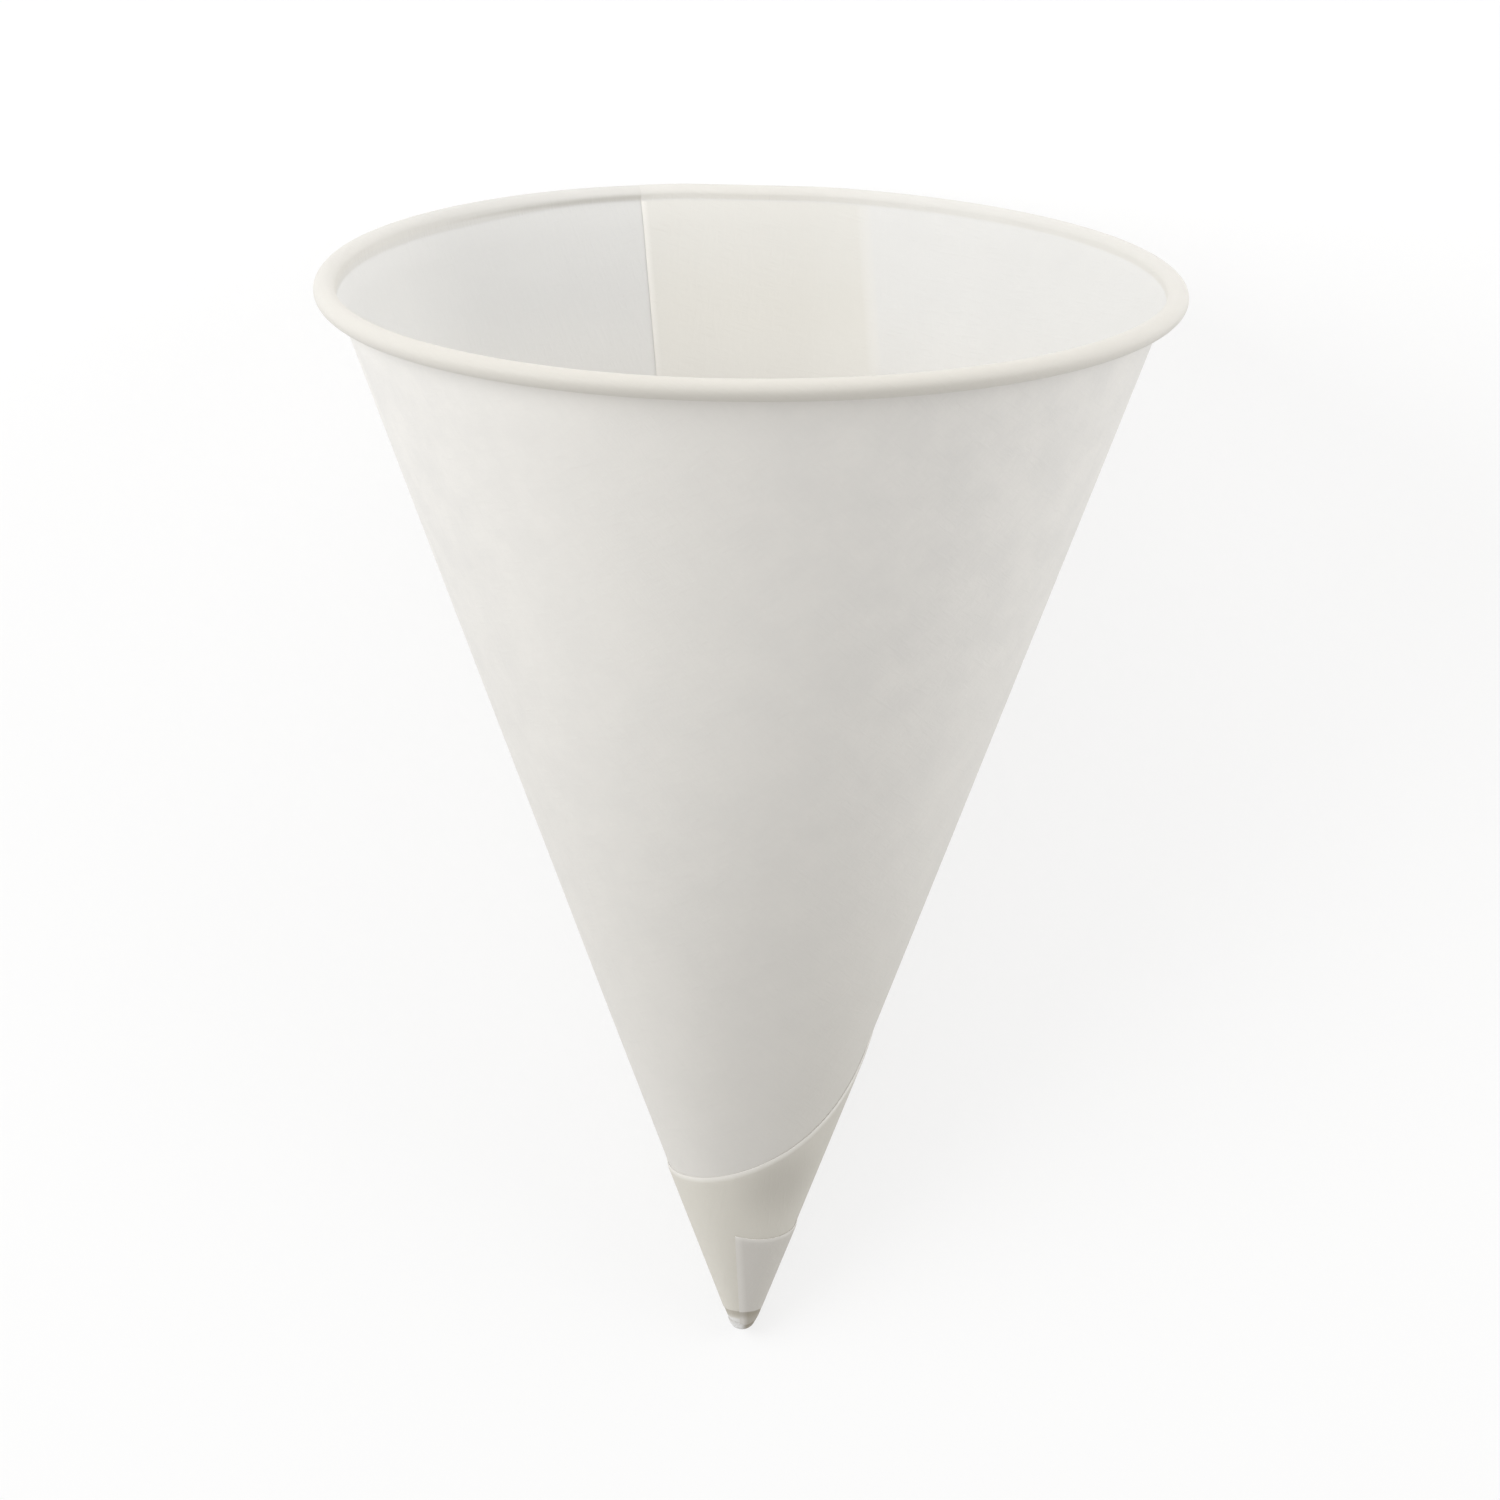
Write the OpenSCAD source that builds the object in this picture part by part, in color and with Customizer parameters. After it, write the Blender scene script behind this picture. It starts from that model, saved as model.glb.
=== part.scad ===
// Cone paper cup: one flat sheet of paper, rolled into a cone, with a rolled rim and a pressed tip.
// It lies on its side on z = 0, on its rim and its tip, with the lap of the sheet underneath.
// The mouth faces +Y. Sizes are in millimetres and angles in degrees.

/* [Cup] */
// Outside width of the rolled rim
mouth_d = 73; // [55:0.5:100]
// Height from the tip to the top of the rim
cup_h = 92; // [70:0.5:130]
// Thickness of the paper
paper = 0.2; // [0.12:0.01:0.26]

/* [Rolled rim] */
// Width of the roll
bead_d = 1.85; // [1.7:0.05:3]
// How far round the paper is rolled
curl_turn = 290; // [180:10:290]

/* [Sheet] */
// Lap of the sheet's two sides at the rim
lap_turn = 32; // [16:8:64]
// Width of the flat spot on the rim, where the lap is pressed
flat_w = 12; // [4:0.5:20]
// How near the straight outer cut passes to the apex
outer_cut = 17.9; // [14:0.1:26]
// How near the square tail cut passes to the apex
tail_cut = 11.9; // [9:0.1:13.5]
// Turns of paper round the tip
tip_turns = 2.57; // [2.1:0.01:2.8]
// Turn in which the sheet climbs over its own inner side
climb_turn = 40; // [16:4:80]
// Glue between one turn of paper and the next
glue = 0.02; // [0.01:0.005:0.05]

/* [Tip] */
// Height of the tip over the point where the inside would end
tip_blunt = 1.65; // [1.2:0.05:3]
// Share of the paper's thickness left at the pressed tip
tip_press = 0.45; // [0.3:0.05:1]

/* [Hidden] */

// Cone: the inside wall starts at the apex and runs into the roll, whose middle is [ring_r, ring_z]
bead_r = bead_d / 2;
ring_r = mouth_d / 2 - bead_r;
ring_z = cup_h + tip_blunt - bead_r;
half_angle = atan2(ring_r, ring_z) - asin(bead_r / norm([ring_r, ring_z]));
squash = sin(half_angle);
up_wall = [squash, cos(half_angle)];
off_wall = [cos(half_angle), -squash];
wall_s = [ring_r, ring_z] * up_wall;

// Rows up the sheet, as distances from the apex: wall, then roll
tip_s = 4;
press_s = 34;
wall_rows = [tip_s, 9, 18, press_s, 50, 67, 84, wall_s];
curl_steps = 10;
curl_rows = [for (k = [1:curl_steps]) wall_s + bead_r * PI / 180 * curl_turn * k / curl_steps];
rows = concat(wall_rows, curl_rows);
wall_top = len(wall_rows) - 1;
row_top = len(rows) - 1;

// Columns round the cone, counted from the sheet's inner side
turn = 90;
step = 360 / turn;
lap_start = -lap_turn / 2;
lap_end = turn + round(lap_turn / step);
tail_end = round(tip_turns * turn);

// The pressed lap: the wall under it is a flat that widens from the apex to the rim
flat_turn = asin(flat_w / mouth_d);
function from_lap(a) = abs((a + 180) % 360 - 180);
function flatten(a) = from_lap(a) < flat_turn ? cos(flat_turn) / cos(from_lap(a)) : 1;

// The flat sheet's straight outer cut, and the tail cut square to it
outer_foot = lap_end * step + acos(outer_cut / wall_s) / squash;
tail_foot = outer_foot + 90 / squash;
corner = outer_foot + atan(tail_cut / outer_cut) / squash;

function reach(i) =
    i <= lap_end ? wall_s :
    i * step < corner ? outer_cut / cos((i * step - outer_foot) * squash) :
    tail_cut / cos((i * step - tail_foot) * squash);

// Section of the inside face, and the way the plies stack on it
function curl_at(s) = (s - wall_s) / bead_r * 180 / PI;
function face_at(s) =
    s <= wall_s ? s * up_wall :
    [ring_r, ring_z] + bead_r * (sin(curl_at(s)) * up_wall - cos(curl_at(s)) * off_wall);
function stack_at(s) =
    s <= wall_s ? off_wall :
    cos(curl_at(s)) * off_wall - sin(curl_at(s)) * up_wall;
function ply(s) =
    s >= press_s ? paper : paper * (tip_press + (1 - tip_press) * (s - tip_s) / (press_s - tip_s));

// Plies under column i: each turn climbs by one just before it meets the sheet's inner side
function climb(a) = max(0, 1 - (360 - a) / climb_turn);
function plies(i) = floor(i / turn) + climb(i % turn * step);

function place(i, p) =
    let (a = lap_start + i * step, r = p[0] * flatten(a))
    [r * sin(a), r * cos(a), p[1]];
function sheet_point(i, j, side) =
    let (s = j <= wall_top ? min(rows[j], reach(i)) : rows[j])
    place(i, face_at(s) + stack_at(s) * (plies(i) * (ply(s) + (j > 0 ? glue : 0)) + side * ply(s)));

// Points: inside face, outside face, then the rings that round off the tip inside and outside
row_count = row_top + 1;
column_count = tail_end + 1;
floor_rings = [40, 65];
floor_r = tip_s * tan(half_angle);
floor_z = tip_s / cos(half_angle);
tip_rings = [half_angle, 45, 70];
tip_plies = 2.5 * paper * tip_press;
tip_r = (tip_blunt + tip_plies / squash) / (1 / squash - 1);

function floor_point(i, a) = place(i, [floor_r * cos(a), floor_z - floor_r * sin(a)]);
function tip_point(i, a) = place(i, [tip_r * cos(a), tip_blunt + tip_r * (1 - sin(a))]);

points = concat(
    [for (side = [0, 1], i = [0:tail_end], j = [0:row_top]) sheet_point(i, j, side)],
    [for (a = floor_rings, i = [0:turn - 1]) floor_point(i, a)],
    [floor_point(0, 90)],
    [for (a = tip_rings, i = [0:turn - 1]) tip_point(i + tail_end, a)],
    [tip_point(0, 90)]
);

// Point numbers. A cut column ends at its cut, and in the lowest row one ply's outside is the next one's inside
last_row = [
    for (i = [0:tail_end])
        i <= lap_end ? row_top : min([for (j = [0:wall_top]) if (rows[j] >= reach(i)) j])
];
first_floor = 2 * column_count * row_count;
floor_mid = first_floor + len(floor_rings) * turn;
first_tip = floor_mid + 1;
tip_mid = first_tip + len(tip_rings) * turn;

function inside(i, j) = i * row_count + min(j, last_row[i]);
function outside(i, j) =
    j == 0 && i + turn <= tail_end ? inside(i + turn, 0) : column_count * row_count + inside(i, j);
function on_floor(k, i) = first_floor + k * turn + i % turn;
function on_tip(k, i) = first_tip + k * turn + i % turn;

function three(a, b, c) = a == b || b == c || a == c ? [] : [[a, b, c]];
function four(a, b, c, d) = concat(three(a, b, c), three(a, c, d));
function top_of(i) = i < lap_end ? row_top : wall_top;

faces = [
    // Inside and outside of the sheet
    for (i = [0:tail_end - 1], j = [0:top_of(i) - 1])
        each four(inside(i, j), inside(i, j + 1), inside(i + 1, j + 1), inside(i + 1, j)),
    for (i = [0:tail_end - 1], j = [0:top_of(i) - 1])
        each four(outside(i, j), outside(i + 1, j), outside(i + 1, j + 1), outside(i, j + 1)),
    // Edges of the sheet: rim and cuts, inner side, end of the roll, end of the tail
    for (i = [0:tail_end - 1], j = top_of(i))
        each four(inside(i, j), outside(i, j), outside(i + 1, j), inside(i + 1, j)),
    for (j = [0:row_top - 1])
        each four(inside(0, j), outside(0, j), outside(0, j + 1), inside(0, j + 1)),
    for (i = lap_end, j = [wall_top:row_top - 1])
        each four(inside(i, j), inside(i, j + 1), outside(i, j + 1), outside(i, j)),
    for (i = tail_end, j = [0:wall_top - 1])
        each four(inside(i, j), inside(i, j + 1), outside(i, j + 1), outside(i, j)),
    // Floor inside the tip
    for (i = [0:turn - 1])
        each four(inside(i, 0), inside(i + 1, 0), on_floor(0, i + 1), on_floor(0, i)),
    [inside(turn, 0), inside(0, 0), on_floor(0, 0)],
    for (i = [0:turn - 1])
        each four(on_floor(0, i), on_floor(0, i + 1), on_floor(1, i + 1), on_floor(1, i)),
    for (i = [0:turn - 1])
        [on_floor(1, i), on_floor(1, i + 1), floor_mid],
    // Round end of the tip
    for (i = [0:turn - 1], c = tail_end - turn + i)
        each four(outside(c, 0), on_tip(0, i), on_tip(0, i + 1), outside(c + 1, 0)),
    [outside(tail_end, 0), on_tip(0, 0), inside(tail_end, 0)],
    for (k = [0, 1], i = [0:turn - 1])
        each four(on_tip(k, i), on_tip(k + 1, i), on_tip(k + 1, i + 1), on_tip(k, i + 1)),
    for (i = [0:turn - 1])
        [on_tip(2, i), tip_mid, on_tip(2, i + 1)]
];

// Lying down: the cup leans on its roll until the first point behind the roll touches
lap_middle = round(-lap_start / step);
roll_points = [for (j = [wall_top:row_top]) points[inside(lap_middle, j)]];
function lean(p) = max([for (q = roll_points) atan2(q[1] - p[1], q[2] - p[2])]);
wall_points = [for (i = [0:tail_end], j = [0:wall_top - 1]) points[outside(i, j)]];
tip_points = [for (k = [first_tip:tip_mid]) points[k]];
lie_angle = min([for (p = concat(wall_points, tip_points)) lean(p)]);

function laid(p) = [
    p[0],
    p[1] * sin(lie_angle) + p[2] * cos(lie_angle),
    p[2] * sin(lie_angle) - p[1] * cos(lie_angle)
];
laid_points = [for (p = points) laid(p)];
low = [for (k = [0:2]) min([for (p = laid_points) p[k]])];
high = [for (k = [0:2]) max([for (p = laid_points) p[k]])];

module cup() {
    color("#efebe2")
        translate([-(low[0] + high[0]) / 2, -(low[1] + high[1]) / 2, -low[2]])
            rotate([lie_angle - 90, 0, 0])
                polyhedron(points, faces, convexity = 8);
}

cup();
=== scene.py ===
"""A cone paper cup, rolled from one flat sheet of paper, and the white stage that it lies on."""

import math

import bmesh
import bpy
from bpy.props import FloatProperty, FloatVectorProperty, PointerProperty
from mathutils import Matrix, Vector


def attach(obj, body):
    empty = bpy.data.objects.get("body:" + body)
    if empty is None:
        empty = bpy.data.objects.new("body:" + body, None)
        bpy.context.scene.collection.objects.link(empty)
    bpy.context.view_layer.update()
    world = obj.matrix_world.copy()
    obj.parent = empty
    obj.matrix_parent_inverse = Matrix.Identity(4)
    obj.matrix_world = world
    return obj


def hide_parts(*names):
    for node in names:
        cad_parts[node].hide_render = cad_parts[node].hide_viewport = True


bl_info = {
    "name": "Cone Paper Cup",
    "version": (1, 0, 0),
    "blender": (4, 5, 0),
    "location": "View3D > Sidebar > Paper Cup",
    "description": "Rolls a cone paper cup from one flat sheet and lays it on a white stage",
    "category": "Object",
}

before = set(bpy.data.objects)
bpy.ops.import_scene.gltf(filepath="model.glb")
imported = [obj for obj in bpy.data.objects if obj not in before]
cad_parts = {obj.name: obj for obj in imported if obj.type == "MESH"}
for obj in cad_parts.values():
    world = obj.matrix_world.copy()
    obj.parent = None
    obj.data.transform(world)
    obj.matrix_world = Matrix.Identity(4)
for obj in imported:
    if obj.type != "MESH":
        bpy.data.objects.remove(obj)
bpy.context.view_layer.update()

# Millimetres in a metre: the sheet is drawn flat in millimetres
MM = 1000.0
# Width of the square that holds the flat sheet in its UV map, in millimetres
CHART = 220.0
# Faces across the flat sheet, and the distance in millimetres at which its points are merged
COLUMNS = 600
MERGE = 2e-3
# Material slots of the cup
PAPER, EDGE, END = range(3)
# Attributes that the paper's material reads
TONES = ("plies", "outside", "rolled", "beside", "side_shade", "front_light")
# Coats of tone on the paper, from the first to the last: name, mask, colour and share
COATS = (
    ("Fibre flecks", "fibre", "cloud", 0.4),
    # Painted shade over the whole inside of the sheet
    ("Inside tone", "inside", "inside", 0.8),
    # Painted shade on the inside wall beside the lap
    ("Tone beside the lap", "beside", "shade", 0.85),
    # Warmer paper of the roll, with painted shade along it that is darkest in front
    ("Roll tone", "rolled", "rolled", 0.7),
    # Painted shade on the outside, darker towards the tip
    ("Low tone", "low", "pressed", 0.7),
    # Painted light on the upper front of the outside
    ("Fair tone", "front_light", "edge", 0.6),
    ("Lap", "backed", "backed", 0.8),
    ("Edge of the ply behind", "shown", "edge", 0.9),
    # Painted shade on the inside just under the roll, then painted light deeper in
    ("Rimward tone", "rimward", "shade", 0.3),
    ("Deep tone", "deep", "edge", 0.35),
    ("Second turn tone", "soaked", "turn", 0.9),
    # Painted shade in the dent under the seam
    ("Stain tone", "dark_shade", "dark_shade", 0.62),
    ("Tail tone", "third", "tail", 0.9),
    # Painted shade on one side of the outside, towards the tip
    ("Dull tone", "side_shade", "dark_shade", 0.42),
    ("Inner border tone", "inner", "edge", 0.6),
    ("Outer border tone", "outer", "edge", 0.7),
    ("Tail border tone", "tail", "edge", 0.4),
    ("Tail end border tone", "tail_end", "edge", 0.35),
    ("Speck tone", "speck", "gap", 0.4),
    # Painted shade in a band under the ledge of the tip
    ("Worn paper", "ledge_shade", "gap", 0.52),
    ("Glazed end", "pale", "wax", 0.6),
    # Painted shade on the tail under the ledge of the tip
    ("Soiled tone", "tail_shade", "gap", 0.52),
)
# Soft lamps, all turned to the middle of the cup: name, place, size, watts and colour
LAMPS = (
    ("key", (-0.42, 0.12, 0.36), 0.35, 1.6, (0.975, 0.99, 1.0)),
    ("fill", (0.46, 0.13, 0.27), 0.35, 0.85, (0.975, 0.99, 1.0)),
    ("back", (0.0, 0.45, 0.3), 0.35, 0.45, (1.0, 1.0, 1.0)),
    ("low", (0.34, 0.42, 0.12), 0.3, 0.35, (1.0, 1.0, 1.0)),
)
LAMP_AIM = (0.0, 0.0, 0.02)


class CupSizes(bpy.types.PropertyGroup):
    """Sizes of the flat sheet and of the rolled cup."""

    mouth: FloatProperty(
        name="Mouth",
        description="Outside width of the rolled rim",
        default=0.073,
        unit="LENGTH",
    )
    height: FloatProperty(
        name="Height",
        description="Height from the tip to the top of the rim",
        default=0.092,
        unit="LENGTH",
    )
    paper: FloatProperty(
        name="Paper",
        description="Thickness of the paper",
        default=0.0002,
        precision=5,
        unit="LENGTH",
    )
    roll: FloatProperty(
        name="Roll",
        description="Width of the rolled rim's bead",
        default=0.00185,
        precision=5,
        unit="LENGTH",
    )
    curl: FloatProperty(
        name="Curl",
        description="How far round the rim is rolled",
        default=math.radians(290),
        subtype="ANGLE",
    )
    lap: FloatProperty(
        name="Lap",
        description="Lap of the sheet's two sides at the rim",
        default=math.radians(32),
        subtype="ANGLE",
    )
    flat_spot: FloatProperty(
        name="Flat spot",
        description="Width of the pressed lap at the rim",
        default=0.012,
        unit="LENGTH",
    )
    outer_cut: FloatProperty(
        name="Outer cut",
        description="How near the sheet's straight outer cut passes to the apex",
        default=0.0179,
        unit="LENGTH",
    )
    tail_cut: FloatProperty(
        name="Tail cut",
        description="How near the tail's square cut passes to the apex",
        default=0.0119,
        unit="LENGTH",
    )
    winding: FloatProperty(
        name="Winding",
        description="How far round the paper is wound at the tip",
        default=math.radians(924),
        subtype="ANGLE",
    )
    climb: FloatProperty(
        name="Climb",
        description="Turn in which the sheet climbs over its own inner side",
        default=math.radians(40),
        subtype="ANGLE",
    )
    blunt: FloatProperty(
        name="Blunt tip",
        description="Height of the tip over the point where the inside would end",
        default=0.00165,
        precision=5,
        unit="LENGTH",
    )
    lean: FloatProperty(
        name="Lean",
        description="Slope of the cup's axis as it lies on its rim and tip",
        default=math.radians(21.1288),
        subtype="ANGLE",
    )


class CupColours(bpy.types.PropertyGroup):
    """Colours of the paper and of the stage."""

    paper: FloatVectorProperty(
        name="Paper",
        description="Plain off-white of the sheet",
        default=(0.83, 0.812, 0.78),
        subtype="COLOR",
        size=3,
    )
    cloud: FloatVectorProperty(
        name="Cloud",
        description="Denser patches in the sheet",
        default=(0.764, 0.751, 0.727),
        subtype="COLOR",
        size=3,
    )
    backed: FloatVectorProperty(
        name="Backed",
        description="Inside of the lap, where a second ply shows through",
        default=(0.732, 0.71, 0.654),
        subtype="COLOR",
        size=3,
    )
    turn: FloatVectorProperty(
        name="Second turn",
        description="Outside of the second turn of paper near the tip",
        default=(0.665, 0.64, 0.575),
        subtype="COLOR",
        size=3,
    )
    tail: FloatVectorProperty(
        name="Tail",
        description="Outside of the tail, the third turn of paper near the tip",
        default=(0.61, 0.588, 0.555),
        subtype="COLOR",
        size=3,
    )
    # Painted shade: the inside of the sheet is drawn darker and cooler than its outside
    inside: FloatVectorProperty(
        name="Inside",
        description="Inside of the sheet, a little cooler than its outside",
        default=(0.74, 0.735, 0.72),
        subtype="COLOR",
        size=3,
    )
    # Painted shade: the outside is drawn darker towards the tip
    pressed: FloatVectorProperty(
        name="Pressed",
        description="Paper that is pressed hard, towards the tip",
        default=(0.675, 0.655, 0.615),
        subtype="COLOR",
        size=3,
    )
    # Painted shade on the inside wall beside the lap, and just under the roll
    shade: FloatVectorProperty(
        name="Beside the lap",
        description="Inside of the sheet where it climbs behind the lap",
        default=(0.67, 0.665, 0.652),
        subtype="COLOR",
        size=3,
    )
    rolled: FloatVectorProperty(
        name="Rolled",
        description="Paper of the rolled rim, warmer than the wall",
        default=(0.675, 0.65, 0.60),
        subtype="COLOR",
        size=3,
    )
    wax: FloatVectorProperty(
        name="Wax",
        description="Glazed end of the tip",
        default=(0.86, 0.86, 0.87),
        subtype="COLOR",
        size=3,
    )
    # Painted shade for the gap, the ledge and one side of the tip, and the colour of the specks
    gap: FloatVectorProperty(
        name="Gap",
        description="Dark gap between the end of the paper and the glazed tip",
        default=(0.30, 0.265, 0.20),
        subtype="COLOR",
        size=3,
    )
    # Painted shade in the dent under the seam and on one side of the outside
    dark_shade: FloatVectorProperty(
        name="Stain",
        description="Glue that has soaked through the second turn",
        default=(0.50, 0.478, 0.43),
        subtype="COLOR",
        size=3,
    )
    # Raw edge colour, also used for painted light on the upper front and deeper inside
    edge: FloatVectorProperty(
        name="Cut edge",
        description="Raw cut edge of the paper",
        default=(0.85, 0.83, 0.79),
        subtype="COLOR",
        size=3,
    )
    floor: FloatVectorProperty(
        name="Floor",
        description="Floor that the cup lies on",
        default=(0.93, 0.93, 0.93),
        subtype="COLOR",
        size=3,
    )


class Roll:
    """Works out where each point of the flat sheet lies once the sheet is rolled, in millimetres."""

    # Distances from the apex: open end of the paper, lowest row of the CAD, ledge of the tip, end of pressing
    start = 2.7
    tip = 4.0
    ledge = 4.15
    pressed = 34.0
    # Share of the paper's thickness that is left at the tip, and the glue between one turn and the next
    press = 0.45
    glue = 0.02
    # Cut borders: their width, and the share of the paper that they lose
    skive = 0.45
    thinning = 0.6
    # Inner side of the sheet: its turn, and the least share of the paper that is left in the lap's roll
    inner_side = 1.0
    thinnest = 0.1
    # Share of the climb by which the sheet climbs later on the roll than on the wall
    late_climb = 0.75
    # Crease under the roll: its distance and spread, how much further it falls, and its depth in plies
    crease = 0.6
    crease_spread = 2.2
    crease_fall = 0.55
    crease_depth = 0.75
    crease_change = 0.35
    # Tuck of the roll: its depth, its share along the wall, and from which and over how many degrees it grows
    tuck = 0.34
    tuck_up = 0.75
    tuck_from = 150
    tuck_over = 140
    # Wall out of round: waves by height, number and beginning, a ripple, and how far narrowed and shifted
    waves = ((0.14, 2, 0.9), (0.10, 3, 2.0))
    ripple = 0.05
    narrowed = 0.12
    shifted = 0.04
    # Back of the rim: how far it is tilted and pressed down along the axis
    rim_tilt = 0.5
    rim_press = 0.3
    # Dent above the tip: its depth, bearing and distance from the apex, and its size round and along the cone
    dent = 0.2
    dent_bearing = math.radians(148)
    dent_s = 16.5
    dent_turn = 0.36
    dent_length = 2.4
    # Open end of the paper: depth of the ledge, how far the end is pinched in, and its waves up and down
    ledge_depth = 0.07
    end_pinch = 0.09
    end_waves = ((0.08, 2.3, 0.8), (0.05, 5.1, 0.0))
    # How much the painted shade of the roll differs between front and back
    roll_shade_change = 0.45
    # Place of the apex in the row's frame
    apex = Vector((0.0, -50.759, 0.215))

    def __init__(self, sizes):
        self.paper = sizes.paper * MM
        self.bead = sizes.roll * MM / 2
        self.blunt = sizes.blunt * MM
        self.ring = Vector((sizes.mouth * MM / 2 - self.bead, sizes.height * MM + self.blunt - self.bead))
        self.half = math.atan2(self.ring.x, self.ring.y) - math.asin(self.bead / self.ring.length)
        self.squash = math.sin(self.half)
        self.up = Vector((math.sin(self.half), math.cos(self.half)))
        self.off = Vector((math.cos(self.half), -math.sin(self.half)))
        self.wall = self.ring.dot(self.up)
        self.rim = self.wall + self.bead * sizes.curl
        self.lap = sizes.lap
        self.climb = sizes.climb
        self.flat = math.asin(sizes.flat_spot / sizes.mouth)
        self.fan = sizes.winding * self.squash
        self.outer_cut = sizes.outer_cut * MM
        self.tail_cut = sizes.tail_cut * MM
        self.outer_foot = (math.tau + self.lap) * self.squash + math.acos(self.outer_cut / self.wall)
        self.tail_foot = self.outer_foot + math.pi / 2
        self.lean = sizes.lean

    def rows(self):
        """Distances from the apex of the rows up the sheet, closer at the tip, the crease and the roll."""
        stops = (self.start, 4.6, 24.0, self.wall - 3.6, self.wall - 2.0, self.wall, self.rim)
        counts = (13, 25, 24, 8, 20, 28)
        rows = [self.start]
        for low, high, count in zip(stops, stops[1:], counts):
            rows += [low + (high - low) * step / count for step in range(1, count + 1)]
        return rows

    def wound(self, x, y):
        """How far round the cone a point of the flat sheet is wound, from the sheet's inner side."""
        return (math.atan2(y, x) + 1e-6) % math.tau / self.squash

    def plies(self, winding, s):
        """Plies under a point of the sheet: each turn climbs by one where it meets the inner side.

        On the wall it has climbed before it gets there. On the roll, which is pressed flush, it climbs later.
        """
        late = smooth((s - self.wall + self.crease) / self.crease) * self.late_climb * self.climb
        turns, left = divmod(winding - late, math.tau)
        return max(0.0, turns + smooth(1 - (math.tau - left) / self.climb))

    def ply(self, s):
        """Thickness of one ply, which is pressed thinner towards the tip."""
        share = min(1.0, (s - self.tip) / (self.pressed - self.tip))
        return self.paper * (self.press + (1 - self.press) * max(0.0, share))

    def section(self, s, lift, depth, free):
        """Radius and height of a point of the sheet, from its distance to the apex and the plies under it.

        Away from the lap the roll is free to be tucked in against the wall.
        """
        ply = self.ply(s)
        rise = lift * (ply + self.glue) + depth * ply
        if s <= self.wall:
            return s * self.up + rise * self.off
        turn = (s - self.wall) / self.bead
        point = self.ring + (self.bead - rise) * (math.sin(turn) * self.up - math.cos(turn) * self.off)
        tuck = self.tuck * free * smooth((math.degrees(turn) - self.tuck_from) / self.tuck_over)
        return point - tuck * (self.off + self.tuck_up * self.up)

    def thinned(self, y, winding, s, depth):
        """Depth in the ply, from 0 inside to 1 outside.

        The sheet's cut borders are pressed thin, and so is its inner side on the roll.
        """
        if winding < self.inner_side:
            inner = self.thinning * max(0.0, 1 - y / self.skive)
            room = max(self.thinnest, min(1.0, self.plies(winding + math.tau, s)))
            return (inner + (1 - inner) * depth) * room
        if s >= self.wall:
            return depth
        angle = winding * self.squash
        short = self.outer_cut - s * math.cos(angle - self.outer_foot)
        if angle > self.outer_foot:
            short = min(short, self.tail_cut - s * math.cos(angle - self.tail_foot))
        return depth * (1 - self.thinning * max(0.0, 1 - max(0.0, short) / self.skive))

    def crease_at(self, bearing):
        """How far under the roll the crease runs: further on the side that the sheet comes from."""
        side = smooth((-math.sin(bearing) - 0.35) / 0.4)
        return self.crease + self.crease_fall * side

    def roll_shade(self, bearing):
        """Share of painted shade on the roll: most in front, least at the back on both sides of the lap."""
        back = math.cos(bearing)
        return 1 - self.roll_shade_change * back + self.roll_shade_change * max(0.0, back) ** 24

    def groove(self, bearing, s):
        """Depth of the crease that is pressed into the inside of the wall, just under the roll."""
        depth = self.paper * (self.crease_depth - self.crease_change * math.sin(bearing))
        crease = self.crease_at(bearing)
        under = self.wall - crease - s
        if under > 0:
            return depth * max(0.0, 1 - under / self.crease_spread) ** 2
        return depth * max(0.0, 1 + under / crease)

    def uneven(self, bearing, s):
        """How far hand and heap have pushed the paper out of round: outwards, and along the axis."""
        share = s / self.wall
        away = math.sin(bearing / 2) ** 2
        out = away * share * wavy(self.waves, bearing)
        out += away * share * (1 - 0.5 * share) * self.ripple * math.sin(7 * bearing + 9 * share)
        out -= share * share * (self.narrowed * math.sin(bearing) ** 2 + self.shifted * math.sin(bearing))
        back = 0.5 + 0.5 * math.cos(bearing)
        drop = share ** 3 * (self.rim_tilt * math.sin(bearing) * back ** 2 - self.rim_press * back ** 3)
        round_dent = (bearing - self.dent_bearing) / self.dent_turn
        along_dent = (s - self.dent_s) / self.dent_length
        out -= self.dent * math.exp(-round_dent ** 2 - along_dent ** 2)
        return out, -drop

    def pinch(self, bearing, s):
        """How far the wall is pressed in at the tip: under a ledge, and at the open end of the paper."""
        ledge = smooth((self.ledge - s) / 0.3) * (0.6 + 0.4 * math.sin(3 * bearing + 0.5))
        end = max(0.0, 1 - (s - self.start) / 0.8) ** 2
        return self.ledge_depth * ledge + self.end_pinch * end

    def ragged(self, winding, s):
        """How far the open end of the paper is pushed up or down the cone, turn by turn."""
        fade = max(0.0, 1 - (s - self.start) / 1.8) ** 2
        return fade * wavy(self.end_waves, winding)

    def place(self, x, y, depth):
        """Place of a point of the flat sheet on the rolled cup, in metres in the row's frame."""
        s = math.hypot(x, y)
        winding = self.wound(x, y)
        bearing = winding - self.lap / 2
        depth = self.thinned(y, winding, s, depth)
        s += self.ragged(winding, s)
        radius, height = self.section(s, self.plies(winding, s), depth, math.sin(bearing / 2) ** 2)
        around = (bearing + math.pi) % math.tau - math.pi
        out, along = self.uneven(around % math.tau, s)
        radius += out + self.groove(bearing, s) - self.pinch(bearing, s)
        if abs(around) < self.flat:
            radius *= math.cos(self.flat) / math.cos(around)
        return self.lay(Vector((radius * math.sin(bearing), radius * math.cos(bearing), height + along)))

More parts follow.
